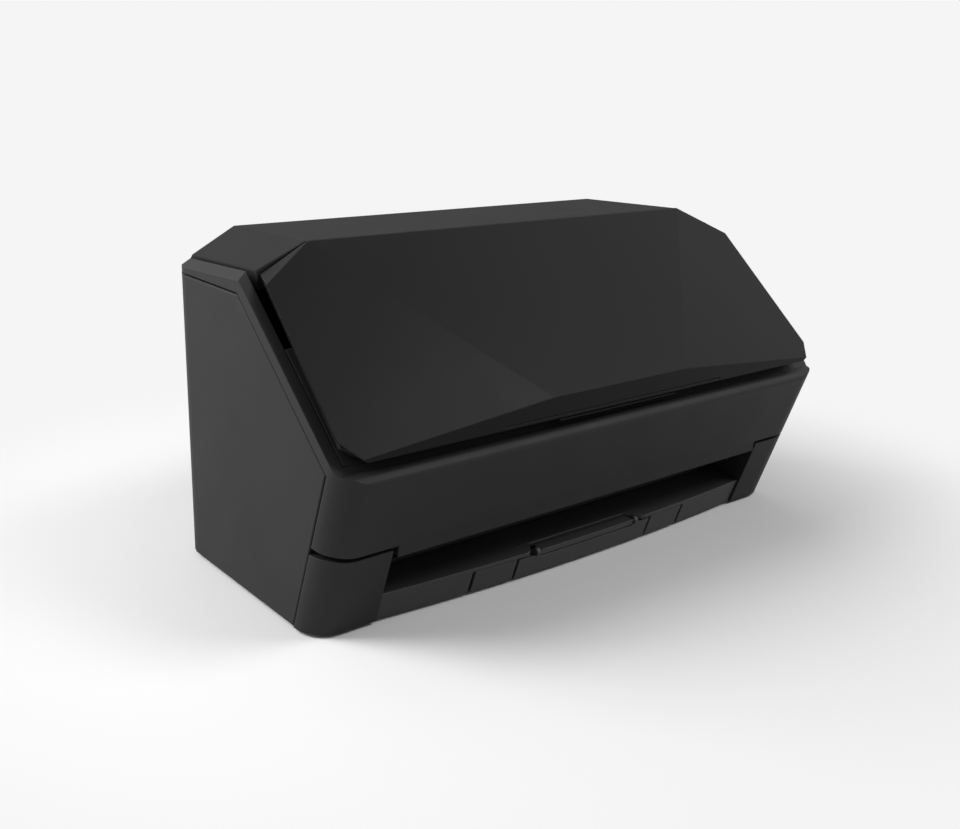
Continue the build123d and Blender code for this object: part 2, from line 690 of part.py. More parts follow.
# Chute extension that slides out of the lid's lower edge
extension_low = 9.0
extension_high = 11.1
extension_half = 65.0
handle_half = 67.4
bevel_run = (lid_bottom_slope - crease_slope) / (crease_height - lid_bottom_height)
tab_half = 36.5
with BuildPart() as chute_extension:
    slope_bar(29, 88, extension_low, extension_high, -extension_half, extension_half)
    prism([on_slope(88, extension_low), on_slope(lid_bottom_slope - undercut, extension_low),
           on_slope(lid_bottom_slope, lid_bottom_height),
           on_slope(lid_bottom_slope - handle_rise * bevel_run, lid_bottom_height + handle_rise),
           on_slope(88, lid_bottom_height + handle_rise)], -handle_half, handle_half)
    slope_bar(88, lid_bottom_slope + 0.6, lid_bottom_height - 2.2, lid_bottom_height - 1.2,
              -tab_half, tab_half)
chute_extension.part.label = "chute_extension"

# Deck under the lid: plate round the touch panel, cheeks beside the feed mouth, hinge brackets
deck_low = 3.0
deck_high = 5.2
deck_half = arm_inner - seam
cheek_inner = half - 32.4
cheek_sheet = 2.2
apex_slope = 32.8
window_slope = (50.0, 84.0)
panel_half = 48.0
cheek_rear_low = 1.0
cheek_rear_end = 40.0
with BuildPart() as right_cheek:
    prism([on_slope(apex_slope, deck_high), on_slope(mouth_slope, deck_high),
           on_slope(mouth_slope, deck_low), on_slope(apex_slope + 4.4, deck_low)],
          cheek_inner, deck_half)
    prism([on_slope(apex_slope, deck_high), on_slope(apex_slope + 3, deck_high),
           on_path(cheek_rear_end, cheek_rear_low + cheek_sheet), on_path(cheek_rear_end, cheek_rear_low)],
          cheek_inner, deck_half)
    prism([on_slope(apex_slope, deck_high), on_slope(mouth_slope, deck_high), on_slope(mouth_slope, deck_low),
           on_path(30, 9), on_path(cheek_rear_end, cheek_rear_low)], cheek_inner, cheek_inner + cheek_sheet)
    # Bracket up to the lid's hinge line
    rod(pivot, knuckle_radius, bracket_inner, bracket_outer)
    prism([on_slope(pivot_slope, pivot_height + knuckle_radius), on_slope(34, deck_high),
           on_slope(apex_slope + 6, deck_low), on_path(4, cheek_rear_low + 0.4), on_path(1, cheek_rear_low),
           on_path(-2, -3.6), on_path(-18.1, -5.2)], bracket_inner, bracket_outer)
    rod(pivot, lid_pin_radius + running, bracket_inner, bracket_outer, Mode.SUBTRACT)
with BuildPart() as deck:
    slope_bar(mouth_slope, 88, deck_low, deck_high, -deck_half, deck_half)
    slope_bar(*window_slope, deck_low - 1, deck_high + 1, -panel_half, panel_half, Mode.SUBTRACT)
    add(right_cheek.part)
    add(right_cheek.part.mirror(Plane.YZ))
deck.part.label = "deck"

with BuildPart() as panel_bezel:
    slope_bar(window_slope[0] + touch, window_slope[1] - touch, deck_low, 5.9,
              touch - panel_half, panel_half - touch)
    slope_bar(54, 80, 4.4, 6.0, -42, 42, Mode.SUBTRACT)
    slope_bar(57, 77, 2.0, 6.0, -36, 36, Mode.SUBTRACT)
panel_bezel.part.label = "panel_bezel"
with BuildPart() as panel_glass:
    slope_bar(54 + touch, 80 - touch, 4.4, 5.5, touch - 42, 42 - touch)
panel_glass.part.label = "panel_glass"
with BuildPart() as panel_board:
    slope_bar(52, 82, 1.2, 2.8, -46, 46)
panel_board.part.label = "panel_board"

# Rollers: places along the paper path
shaft_radius = 3.0
stub_radius = 1.5
pick_spot = (pick_along, -9.2)
pick_radius = 10.0
feed_spot = (feed_along, -6.5)
exit_spot = (exit_along, -6.5)
feed_radius = 7.0
roller_gap = 0.4
brake_radius = 4.5
idler_radius = 4.0
tyre_width = 12.0
tyre_room = tyre_width / 2 + 0.6
pick_tyres_x = (-18.0, 18.0)
feed_tyres_x = (-75.0, -30.0, 30.0, 75.0)
brake_spot = (pick_spot[0], pick_spot[1] + pick_radius + roller_gap + brake_radius)
feed_idler_spot = (feed_spot[0], feed_spot[1] + feed_radius + roller_gap + idler_radius)
exit_idler_spot = (exit_spot[0], exit_spot[1] + feed_radius + roller_gap + idler_radius)

# Paper guide in the base: flat plate, trough and curved back for the lid's tail, outlet apron
sensor_half = half - 36.0
cove_start = 4.0
cove_arc = 107.0
guide_taper = (relief_radius - relief_end_radius) / (lid_upper_half - lid_top_half)
guide_end_radius = relief_radius - guide_taper * (guide_half - lid_top_half)
bay_top = 18.0
apron_knee = (-47.5, 30.0)
apron_foot = -36.0
with BuildPart() as paper_guide:
    prism([on_path(1.8, 0), on_path(path_length, 0), on_path(path_length, -guide_thick),
           on_path(3.6, -guide_thick), on_path(1.8, -0.9)], -guide_half, guide_half)
    prism([on_path(11.3, -1.9), on_path(9.2, -1.9), on_path(7.9, -6.6), on_path(9.7, -7.6)],
          -guide_half, guide_half)
    with BuildSketch(Plane(origin=(0, pivot_y, pivot_z), x_dir=(1, 0, 0),
                           z_dir=(0, -sin(radians(cove_start)), cos(radians(cove_start))))):
        with BuildLine():
            Polyline((-guide_half, guide_end_radius), (-lid_top_half, relief_radius),
                     (lid_top_half, relief_radius), (guide_half, guide_end_radius),
                     (guide_half, guide_end_radius + guide_thick),
                     (lid_top_half, relief_radius + guide_thick),
                     (-lid_top_half, relief_radius + guide_thick),
                     (-guide_half, guide_end_radius + guide_thick), close=True)
        make_face()
    revolve(axis=Axis((0, pivot_y, pivot_z), (-1, 0, 0)), revolution_arc=cove_arc)
    prism([on_path(path_length, 0), on_path(path_length - 2, -guide_thick),
           (apron_knee[0] + 1.9, apron_knee[1] + 1.8), (apron_foot + 2.6, bay_top + touch),
           (apron_foot, bay_top + touch), apron_knee], -lip_half, lip_half)
    # End walls of the outlet, over the bay's walls
    for x_from, x_to in ((lip_half - guide_thick, lip_half), (-lip_half, guide_thick - lip_half)):
        prism([on_path(path_length, 0), apron_knee, (apron_foot, bay_top + touch),
               (apron_foot - 6, bay_top + touch), (apron_knee[0] - 6, apron_knee[1] - 4)], x_from, x_to)
    for x in pick_tyres_x:
        path_bar(pick_along - 8.5, pick_along + 8.5, -3, 1, x - tyre_room, x + tyre_room, Mode.SUBTRACT)
    for x in feed_tyres_x:
        for along in (feed_along, exit_along):
            path_bar(along - 6.5, along + 6.5, -3, 1, x - tyre_room, x + tyre_room, Mode.SUBTRACT)
    path_bar(sensor_from, sensor_to, -3, 1, -sensor_half, sensor_half, Mode.SUBTRACT)
    # Tabs that reach the frame plates
    for x_from, x_to in ((guide_half - 1, frame_inner), (-frame_inner, 1 - guide_half)):
        path_bar(12, 20, -guide_thick, 0, x_from, x_to)
        path_bar(60, 66, -guide_thick, 0, x_from, x_to)
paper_guide.part.label = "paper_guide"

with BuildPart() as lower_glass:
    path_bar(sensor_from + touch, sensor_to - touch, -1.8, 0, touch - sensor_half, sensor_half - touch)
lower_glass.part.label = "lower_glass"
with BuildPart() as lower_sensor:
    path_bar(sensor_from, sensor_to, -12, -guide_thick - 0.1, -sensor_half - 2, sensor_half + 2)
lower_sensor.part.label = "lower_sensor"

# Upper guide, carried by the swinging top
upper_half = half - 34.0
upper_ribs_x = (46.0 - half, -50.0, 50.0, half - 46.0)
upper_sensor_half = half - 47.8
with BuildPart() as upper_guide:
    prism([on_path(24, path_gap), on_path(path_length, path_gap),
           on_path(path_length, path_gap + guide_thick), on_path(25, path_gap + guide_thick),
           on_path(16.6, 6.2), on_path(14.4, 4.9)], -upper_half, upper_half)
    path_bar(brake_spot[0] - 6, brake_spot[0] + 6, 2, 8, -13.0, 13.0, Mode.SUBTRACT)
    for x in feed_tyres_x:
        for spot in (feed_idler_spot, exit_idler_spot):
            path_bar(spot[0] - 4.8, spot[0] + 4.8, 2, 8, x - tyre_room, x + tyre_room, Mode.SUBTRACT)
    path_bar(sensor_from, sensor_to, 2, 8, -sensor_half, sensor_half, Mode.SUBTRACT)
    # Ribs that carry the guide under the deck
    for x in upper_ribs_x:
        prism([on_path(path_length - 2, path_gap + 1), on_path(26, path_gap + 1), on_path(18, 5.5),
               on_slope(mouth_slope + 3, deck_low), on_slope(84, deck_low),
               on_path(path_length - 2, path_gap + guide_thick + 3)], x - 1, x + 1)
        path_bar(sensor_from, sensor_to, 2, 14, x - 1.5, x + 1.5, Mode.SUBTRACT)
    # Lugs for the brake roller and the idler shafts
    for x_from, x_to in ((13.0, 15.5), (-15.5, -13.0)):
        path_bar(brake_spot[0] - 3, brake_spot[0] + 3, path_gap + 1, brake_spot[1] + 3, x_from, x_to)
        rod(on_path(*brake_spot), stub_radius + running, x_from, x_to, Mode.SUBTRACT)
    for spot in (feed_idler_spot, exit_idler_spot):
        for x_from, x_to in ((84.0, 86.5), (-86.5, -84.0), (13.0, 15.5), (-15.5, -13.0)):
            path_bar(spot[0] - 3, spot[0] + 3, path_gap + 1, spot[1] + 3, x_from, x_to)
        rod(on_path(*spot), stub_radius + running, -87, 87, Mode.SUBTRACT)
upper_guide.part.label = "upper_guide"

with BuildPart() as upper_glass:
    path_bar(sensor_from + touch, sensor_to - touch, path_gap, path_gap + 1.8, touch - sensor_half,
             sensor_half - touch)
upper_glass.part.label = "upper_glass"
with BuildPart() as upper_sensor:
    path_bar(sensor_from + touch, sensor_to - touch, path_gap + guide_thick + 0.1, 13,
             -upper_sensor_half, upper_sensor_half)
    for x in upper_ribs_x[1:3]:
        path_bar(sensor_from, sensor_to, path_gap, 14, x - 1.7, x + 1.7, Mode.SUBTRACT)
    path_bar(sensor_from + touch, sensor_to - touch, path_gap + guide_thick + 0.1, 8,
             -upper_sensor_half, upper_sensor_half)
upper_sensor.part.label = "upper_sensor"

with BuildPart() as brake_roller:
    rod(on_path(*brake_spot), brake_radius, -12, 12)
    rod(on_path(*brake_spot), stub_radius, -15.5, 15.5)
brake_roller.part.label = "brake_roller"


def idler_rollers(spot):
    """One shaft with its four free-running pressure rollers."""
    with BuildPart() as rollers:
        rod(on_path(*spot), stub_radius, -86.5, 86.5)
        for x in feed_tyres_x:
            rod(on_path(*spot), idler_radius, x - tyre_width / 2, x + tyre_width / 2)
    return rollers.part


with BuildPart() as feed_idlers:
    add(idler_rollers(feed_idler_spot))
feed_idlers.part.label = "feed_idlers"
with BuildPart() as exit_idlers:
    add(idler_rollers(exit_idler_spot))
exit_idlers.part.label = "exit_idlers"

# Driven shafts with their rubber tyres and belt pulleys
pulley_radius = 6.0
flange_radius = 7.2
flange = 0.8


def driven_shaft(center):
    """A plain shaft with a flanged belt pulley at its left end."""
    with BuildPart() as shaft:
        rod(center, shaft_radius, -pulley_to, pulley_from)
        rod(center, pulley_radius, -pulley_to, -pulley_from)
        rod(center, flange_radius, -pulley_from - flange, -pulley_from)
        rod(center, flange_radius, -pulley_to, -pulley_to + flange)
    return shaft.part


def tyres(center, radius, places):
    """Rubber tyres on a shaft."""
    with BuildPart() as rubber:
        for x in places:
            rod(center, radius, x - tyre_width / 2, x + tyre_width / 2)
            rod(center, shaft_radius, x - tyre_width / 2, x + tyre_width / 2, Mode.SUBTRACT)
    return rubber.part


with BuildPart() as pick_shaft:
    add(driven_shaft(on_path(*pick_spot)))
pick_shaft.part.label = "pick_shaft"
with BuildPart() as pick_tyres:
    add(tyres(on_path(*pick_spot), pick_radius, pick_tyres_x))
pick_tyres.part.label = "pick_tyres"
with BuildPart() as feed_shaft:
    add(driven_shaft(on_path(*feed_spot)))
feed_shaft.part.label = "feed_shaft"
with BuildPart() as feed_tyres:
    add(tyres(on_path(*feed_spot), feed_radius, feed_tyres_x))
feed_tyres.part.label = "feed_tyres"
with BuildPart() as exit_shaft:
    add(driven_shaft(on_path(*exit_spot)))
exit_shaft.part.label = "exit_shaft"
with BuildPart() as exit_tyres:
    add(tyres(on_path(*exit_spot), feed_radius, feed_tyres_x))
exit_tyres.part.label = "exit_tyres"

# Frame: two steel plates with bushes, tied together by bars
shaft_spots = [on_path(*pick_spot), on_path(*feed_spot), on_path(*exit_spot)]
bush_radius = 4.4
tie_spots = [(20.0, 24.0), (30.0, 56.0), (0.0, 92.0)]
tie_radius = 3.0
frame_points = [on_path(10, -2.5), on_path(path_length - 3, -2.5), (-46, 34), (-36, 4), (40, 4), (40, 60),
                (-6, 100)]
with BuildPart() as right_frame_plate:
    prism(frame_points, frame_inner, frame_outer)
    prism([(-36, 4), (40, 4), (40, 6), (-36, 6)], frame_outer, frame_outer + 8)
    for spot in shaft_spots:
        rod(spot, bush_radius, frame_inner, frame_outer, Mode.SUBTRACT)
right_frame_plate.part.label = "right_frame_plate"
motor_spot = (4.0, 46.0)
motor_shaft = 2.0
with BuildPart() as left_frame_plate:
    mirror(right_frame_plate.part, about=Plane.YZ)
    rod(motor_spot, motor_shaft + 0.5, -frame_outer, -frame_inner, Mode.SUBTRACT)
left_frame_plate.part.label = "left_frame_plate"
with BuildPart() as frame_tie_bars:
    for spot in tie_spots:
        rod(spot, tie_radius, -frame_inner, frame_inner)
frame_tie_bars.part.label = "frame_tie_bars"
with BuildPart() as shaft_bushes:
    for spot in shaft_spots:
        for x_from, x_to in ((-frame_outer - 1.2, 0.8 - frame_inner), (frame_inner - 0.8, frame_outer + 1.2)):
            rod(spot, bush_radius, x_from, x_to)
            rod(spot, shaft_radius + running, x_from, x_to, Mode.SUBTRACT)
shaft_bushes.part.label = "shaft_bushes"

# Drive: motor, its pulley and one belt round all four pulleys
with BuildPart() as drive_motor:
    rod(motor_spot, 14.0, -frame_inner, 30.0 - frame_inner)
    rod(motor_spot, 5.0, 30.0 - frame_inner, 33.0 - frame_inner)
drive_motor.part.label = "drive_motor"
with BuildPart() as motor_pulley:
    rod(motor_spot, motor_shaft, -pulley_to, -frame_inner - 0.3)
    rod(motor_spot, pulley_radius, -pulley_to, -pulley_from)
    rod(motor_spot, flange_radius, -pulley_from - flange, -pulley_from)
    rod(motor_spot, flange_radius, -pulley_to, -pulley_to + flange)
motor_pulley.part.label = "motor_pulley"


def belt_outline(radius):
    """The tight outline round circles on all four pulleys."""
    with BuildSketch(Plane.YZ.offset(-pulley_to + flange + 0.3)) as outline:
        with Locations(motor_spot, *shaft_spots):
            Circle(radius)
        make_hull()
    return outline.sketch


belt_width = pulley_to - pulley_from - 2 * flange - 0.6
with BuildPart() as drive_belt:
    extrude(belt_outline(pulley_radius + 1.3), amount=belt_width)
    extrude(belt_outline(pulley_radius + 0.1), amount=belt_width, mode=Mode.SUBTRACT)
drive_belt.part.label = "drive_belt"

# Electronics behind and above the stacker
bay_cover_front = apron_foot - 2.0
bay_cover_low = bay_top - 2.0
bay_half = slot_half + wall + 0.1
with BuildPart() as bay_cover:
    box(0.3 - slot_half, slot_half - 0.3, bay_cover_front, -15.5, bay_cover_low, bay_top)
    box(-bay_half, bay_half, -15.6, 46.0, bay_cover_low, bay_top)
    box(bay_half - 2, bay_half, -15.6, 46.0, foot_height + wall, bay_cover_low + 1)
    box(-bay_half, 2 - bay_half, -15.6, 46.0, foot_height + wall, bay_cover_low + 1)
bay_cover.part.label = "bay_cover"
board_front = 62.0
board_thick = 1.6
board_left = -100.0
board_right = 60.0
board_low = 8.0
board_high = 74.0
with BuildPart() as main_board:
    box(board_left, board_right, board_front, board_front + board_thick, board_low, board_high)
    for x, z in ((-30, 50), (10, 40), (35, 56)):
        box(x - 7, x + 7, board_front - 2.0, board_front, z - 7, z + 7)
main_board.part.label = "main_board"
with BuildPart() as dc_jack:
    box(jack_x - 5, jack_x + 5, board_front + board_thick, body_rear - wall - touch,
        port_z - 5.5, port_z + 5.5)
    with BuildSketch(Plane(origin=(jack_x, body_rear - wall - 1, port_z), x_dir=(-1, 0, 0), z_dir=(0, 1, 0))):
        Circle(jack_barrel)
    extrude(amount=wall + 0.8)
    with BuildSketch(Plane(origin=(jack_x, body_rear, port_z), x_dir=(-1, 0, 0), z_dir=(0, 1, 0))):
        Circle(jack_bore)
    extrude(amount=-10, mode=Mode.SUBTRACT)
    with BuildSketch(Plane(origin=(jack_x, body_rear - 10.2, port_z), x_dir=(-1, 0, 0), z_dir=(0, 1, 0))):
        Circle(1.0)
    extrude(amount=8)
dc_jack.part.label = "dc_jack"
with BuildPart() as usb_socket:
    box(usb_x - usb_width / 2, usb_x + usb_width / 2, board_front + board_thick, body_rear - touch,
        port_z - usb_height / 2, port_z + usb_height / 2)
    box(usb_x - 4.3, usb_x + 4.3, body_rear - 9, body_rear, port_z - 4.0, port_z + 4.0, Mode.SUBTRACT)
    box(usb_x - 2.7, usb_x + 2.7, body_rear - 9.2, body_rear - 5.6, port_z - 1.4, port_z + 1.4)
usb_socket.part.label = "usb_socket"

# Paper stacker: three trays inside one another and a flip-up stop, all behind one curved front
arc_radius = 1240.0
arc_front = -59.7


def arc_y(x, z):
    """The stacker's curved front: Y at a place along X and a height."""
    return arc_front + arc_radius - sqrt(arc_radius ** 2 - x ** 2) - front_lean * (z - foot_height)


def behind_front(x_from, x_to, z_from, z_to, y_to):
    """A block from the stacker's curved, leaning front back to a straight rear edge."""
    middle = (x_from + x_to) / 2
    with BuildSketch(Plane.XY.offset(z_from)) as outline:
        with BuildLine():
            ThreePointArc((x_from, arc_y(x_from, z_from)), (middle, arc_y(middle, z_from)),
                          (x_to, arc_y(x_to, z_from)))
            Polyline((x_to, arc_y(x_to, z_from)), (x_to, y_to), (x_from, y_to),
                     (x_from, arc_y(x_from, z_from)))
        make_face()
    extrude(outline.sketch, amount=(z_to - z_from) * sqrt(1 + front_lean ** 2), dir=(0, -front_lean, 1))


tray_low = foot_height + wall + 0.3
block_rear = -46.0
stage_1_half = slot_half - 0.4
stage_2_half = 67.0
stage_3_half = 42.4
stage_1_plate = 13.3
stage_2_plate = 9.5
stage_3_plate = 5.8
tray_sheet = 2.0
block_low = 1.8
stage_1_rear = 40.0
stage_2_rear = 25.0
stage_3_rear = 14.0
with BuildPart() as stacker_stage_1:
    behind_front(-stage_1_half, stage_1_half, stage_1_plate, stage_1_plate + tray_sheet, stage_1_rear)
    box(-38, 38, -70, -56, stage_1_plate - 1, stage_1_plate + 3, Mode.SUBTRACT)
    box(-stage_1_half, stage_1_half, -45, stage_1_rear + 1, stage_1_plate, stage_1_plate + tray_sheet)
    for side in (1, -1):
        extrude(plan_face([(side * 31, -56.2), (side * 39, -56.2), (side * 39, -63.2), (side * 37, -63.2)],
                          stage_1_plate), amount=tray_sheet)
        box(min(side * stage_1_half, side * (stage_1_half - tray_sheet)),
            max(side * stage_1_half, side * (stage_1_half - tray_sheet)),
            block_rear - 1, stage_1_rear, tray_low, stage_1_plate + 0.5)
    behind_front(stage_2_half + 1.8, stage_1_half, block_low, stage_1_plate + 0.5, block_rear)
    behind_front(-stage_1_half, -stage_2_half - 1.8, block_low, stage_1_plate + 0.5, block_rear)
stacker_stage_1.part.label = "stacker_stage_1"
with BuildPart() as stacker_stage_2:
    box(-stage_2_half, stage_2_half, -55.8, stage_2_rear, stage_2_plate, stage_2_plate + tray_sheet)
    behind_front(stage_3_half + 1.6, stage_2_half, block_low, stage_1_plate - 0.4, block_rear)
    behind_front(-stage_2_half, -stage_3_half - 1.6, block_low, stage_1_plate - 0.4, block_rear)
    box(stage_2_half - 2, stage_2_half, block_rear - 1, stage_2_rear, tray_low, stage_2_plate + 0.5)
    box(-stage_2_half, 2 - stage_2_half, block_rear - 1, stage_2_rear, tray_low, stage_2_plate + 0.5)
stacker_stage_2.part.label = "stacker_stage_2"

stop_pivot = (-62.3, 13.6)
stop_half = 30.0
stop_low = 11.9
stop_high = 14.8
trunnion_radius = 1.0
with BuildPart() as stacker_stage_3:
    box(-stage_3_half, stage_3_half, -52, stage_3_rear, stage_3_plate, stage_3_plate + tray_sheet)
    behind_front(-stage_3_half, stage_3_half, block_low, stage_2_plate - 0.4, block_rear - 2)
    behind_front(-stage_3_half, stage_3_half, stage_2_plate - 0.5, 12.3, -56.2)
    box(-stop_half - 0.4, stop_half + 0.4, -70, -56, 11.2, 13, Mode.SUBTRACT)
    box(stage_3_half - 2, stage_3_half, -47, stage_3_rear, tray_low, stage_3_plate + 0.5)
    box(-stage_3_half, 2 - stage_3_half, -47, stage_3_rear, tray_low, stage_3_plate + 0.5)
    for x_from, x_to in ((30.9, 33.0), (-33.0, -30.9)):
        rod(stop_pivot, 2.0, x_from, x_to)
        rod(stop_pivot, trunnion_radius + running, x_from, x_to, Mode.SUBTRACT)
stacker_stage_3.part.label = "stacker_stage_3"
with BuildPart() as paper_stop:
    behind_front(-stop_half, stop_half, stop_low, stop_high, -57.0)
    rod(stop_pivot, trunnion_radius, -33.0, 33.0)
paper_stop.part.label = "paper_stop"

pieces = [bottom_cover, rubber_feet, bottom_screws, right_side_panel, left_side_panel, rear_cover,
          rear_screws, hood, front_cover, cover_pivot_pins, lid_shell, lid_inner_plate,
          lid_hinge_pins, side_guide_right, side_guide_left, guide_pinion, chute_extension, deck,
          panel_bezel, panel_glass, panel_board, paper_guide, lower_glass, lower_sensor,
          upper_guide, upper_glass, upper_sensor, brake_roller, feed_idlers, exit_idlers,
          pick_shaft, pick_tyres, feed_shaft, feed_tyres, exit_shaft, exit_tyres,
          right_frame_plate, left_frame_plate, frame_tie_bars, shaft_bushes, drive_motor,
          motor_pulley, drive_belt, bay_cover, main_board, dc_jack, usb_socket,
          stacker_stage_1, stacker_stage_2, stacker_stage_3, paper_stop]
for piece in pieces:
    export_step(piece.part, f"parts/{piece.part.label}.step")
    print(piece.part.label, len(piece.part.solids()), round(piece.part.volume / 1000, 1))
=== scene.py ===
import math
import bmesh
import bpy
import numpy as np
from mathutils import Matrix, Vector


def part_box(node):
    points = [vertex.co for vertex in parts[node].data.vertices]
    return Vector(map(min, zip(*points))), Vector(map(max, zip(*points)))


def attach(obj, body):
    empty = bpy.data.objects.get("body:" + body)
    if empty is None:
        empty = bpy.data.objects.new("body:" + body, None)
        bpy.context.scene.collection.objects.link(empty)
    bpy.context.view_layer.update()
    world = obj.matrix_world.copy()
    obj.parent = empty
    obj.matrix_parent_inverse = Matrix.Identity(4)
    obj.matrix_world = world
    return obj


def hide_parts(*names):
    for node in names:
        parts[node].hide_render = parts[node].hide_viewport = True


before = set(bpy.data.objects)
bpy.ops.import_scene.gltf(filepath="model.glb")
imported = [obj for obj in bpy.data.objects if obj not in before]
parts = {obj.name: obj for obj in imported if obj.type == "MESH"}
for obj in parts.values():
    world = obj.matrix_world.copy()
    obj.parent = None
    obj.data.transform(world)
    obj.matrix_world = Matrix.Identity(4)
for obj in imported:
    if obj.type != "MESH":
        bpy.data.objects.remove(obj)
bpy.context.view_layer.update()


# Body shell: side panels, rear cover, bottom cover, hood and front cover.
# Injection-moulded black ABS with a fine spark-eroded grain, satin, its edges
# slightly rounded in the tool and lightened, partly as wear from handling and partly as a painted highlight;
# painted shade deepens its own crevices.
grain_octaves = 3.0
grain_bite = 0.6
probe_rays = 6
patch_scale = 38.0
patch_octaves = 4.0
patch_low = 0.3
patch_high = 0.7
gloss_swing = 0.03
# Edge lightening, partly wear and partly a painted highlight: where it starts and where it is full, and the
# lighter colour's gain and lift.
wear_highlight_start = 0.995
wear_highlight_full = 0.85
wear_highlight_gain = 1.9
wear_highlight_lift = 0.004
# Painted shade in a piece's own crevices: its reach, the occlusion at which it is deepest, where it ends,
# and its darkest share.
painted_shade_reach = 0.005
painted_shade_deepest = 0.5
painted_shade_ends = 0.95
painted_shade_tone = 0.1


def moulded_plastic(name, colour, roughness, grain=0.00035, depth=0.000012, edge=0.0007, wear_highlight=0.35,
                    sheen=0.2):
    """Grain: noise of the given size pushes the surface in and out by the given depth.
    Edges: the angle between the true and the rounded normal, eased, lightens the colour, partly as wear and
    partly as a painted highlight.
    Gloss: a slower noise varies the roughness by a few percent, as a moulded skin does.
    Crevices: where the piece itself closes off what is in reach, painted shade deepens the colour.
    Sheen is the strength of the mirror part, low on a spark-eroded skin."""
    made = bpy.data.materials.new(name)
    made.use_nodes = True
    tree = made.node_tree
    tree.nodes.clear()
    add = tree.nodes.new
    link = tree.links.new
    out = add("ShaderNodeOutputMaterial")
    skin = add("ShaderNodeBsdfPrincipled")
    link(skin.outputs["BSDF"], out.inputs["Surface"])
    place = add("ShaderNodeTexCoord")
    fine = add("ShaderNodeTexNoise")
    fine.inputs["Scale"].default_value = 1.0 / grain
    fine.inputs["Detail"].default_value = grain_octaves
    fine.inputs["Roughness"].default_value = grain_bite
    link(place.outputs["Object"], fine.inputs["Vector"])
    rounded = add("ShaderNodeBevel")
    rounded.samples = probe_rays
    rounded.inputs["Radius"].default_value = edge
    bump = add("ShaderNodeBump")
    bump.inputs["Strength"].default_value = 1.0
    bump.inputs["Distance"].default_value = depth
    link(fine.outputs["Fac"], bump.inputs["Height"])
    link(rounded.outputs["Normal"], bump.inputs["Normal"])
    link(bump.outputs["Normal"], skin.inputs["Normal"])
    patchy = add("ShaderNodeTexNoise")
    patchy.inputs["Scale"].default_value = patch_scale
    patchy.inputs["Detail"].default_value = patch_octaves
    link(place.outputs["Object"], patchy.inputs["Vector"])
    gloss = add("ShaderNodeMapRange")
    gloss.inputs["From Min"].default_value = patch_low
    gloss.inputs["From Max"].default_value = patch_high
    gloss.inputs["To Min"].default_value = roughness - gloss_swing
    gloss.inputs["To Max"].default_value = roughness + gloss_swing
    link(patchy.outputs["Fac"], gloss.inputs["Value"])
    link(gloss.outputs["Result"], skin.inputs["Roughness"])
    flat = add("ShaderNodeNewGeometry")
    turn = add("ShaderNodeVectorMath")
    turn.operation = "DOT_PRODUCT"
    link(rounded.outputs["Normal"], turn.inputs[0])
    link(flat.outputs["Normal"], turn.inputs[1])
    # Painted highlight and wear: edges lighten as the rounded normal turns away from the true one.
    wear_highlight_mask = add("ShaderNodeMapRange")
    wear_highlight_mask.inputs["From Min"].default_value = wear_highlight_start
    wear_highlight_mask.inputs["From Max"].default_value = wear_highlight_full
    wear_highlight_mask.inputs["To Min"].default_value = 0.0
    wear_highlight_mask.inputs["To Max"].default_value = wear_highlight
    link(turn.outputs["Value"], wear_highlight_mask.inputs["Value"])
    patchy_wear_highlight = add("ShaderNodeMath")
    patchy_wear_highlight.operation = "MULTIPLY"
    link(wear_highlight_mask.outputs["Result"], patchy_wear_highlight.inputs[0])
    link(patchy.outputs["Fac"], patchy_wear_highlight.inputs[1])
    tint = add("ShaderNodeMix")
    tint.data_type = "RGBA"
    tint.inputs["A"].default_value = (*colour, 1.0)
    tint.inputs["B"].default_value = (*[min(1.0, c * wear_highlight_gain + wear_highlight_lift) for c in colour], 1.0)
    link(patchy_wear_highlight.outputs["Value"], tint.inputs["Factor"])
    # Painted shade: occlusion by the piece itself darkens the colour in its own creases and seams.
    painted_shade_occlusion = add("ShaderNodeAmbientOcclusion")
    painted_shade_occlusion.samples = probe_rays
    painted_shade_occlusion.only_local = True
    painted_shade_occlusion.inputs["Distance"].default_value = painted_shade_reach
    shade = add("ShaderNodeMapRange")
    shade.inputs["From Min"].default_value = painted_shade_deepest
    shade.inputs["From Max"].default_value = painted_shade_ends
    shade.inputs["To Min"].default_value = painted_shade_tone
    link(painted_shade_occlusion.outputs["AO"], shade.inputs["Value"])
    painted_shade_colour = add("ShaderNodeMix")
    painted_shade_colour.data_type = "RGBA"
    painted_shade_colour.blend_type = "MULTIPLY"
    painted_shade_colour.inputs["Factor"].default_value = 1.0
    link(tint.outputs["Result"], painted_shade_colour.inputs["A"])
    link(shade.outputs["Result"], painted_shade_colour.inputs["B"])
    link(painted_shade_colour.outputs["Result"], skin.inputs["Base Color"])
    skin.inputs["Specular IOR Level"].default_value = sheen
    return made


def dress(material, *names):
    """Gives CAD nodes one finish."""
    for name in names:
        parts[name].data.materials.clear()
        parts[name].data.materials.append(material)


shell_black = moulded_plastic("shell_black", (0.0120, 0.0120, 0.0125), 0.56)
dress(shell_black, "left_side_panel", "right_side_panel", "rear_cover", "bottom_cover", "front_cover")
# The hood's black is paler than the shell's: painted light, a lighter copy of the same ABS standing in for
# the light its facets catch.
hood_black = moulded_plastic("hood_black", (0.030, 0.030, 0.0305), 0.8, edge=0.0009, wear_highlight=0.9, sheen=0.03)
dress(hood_black, "hood")


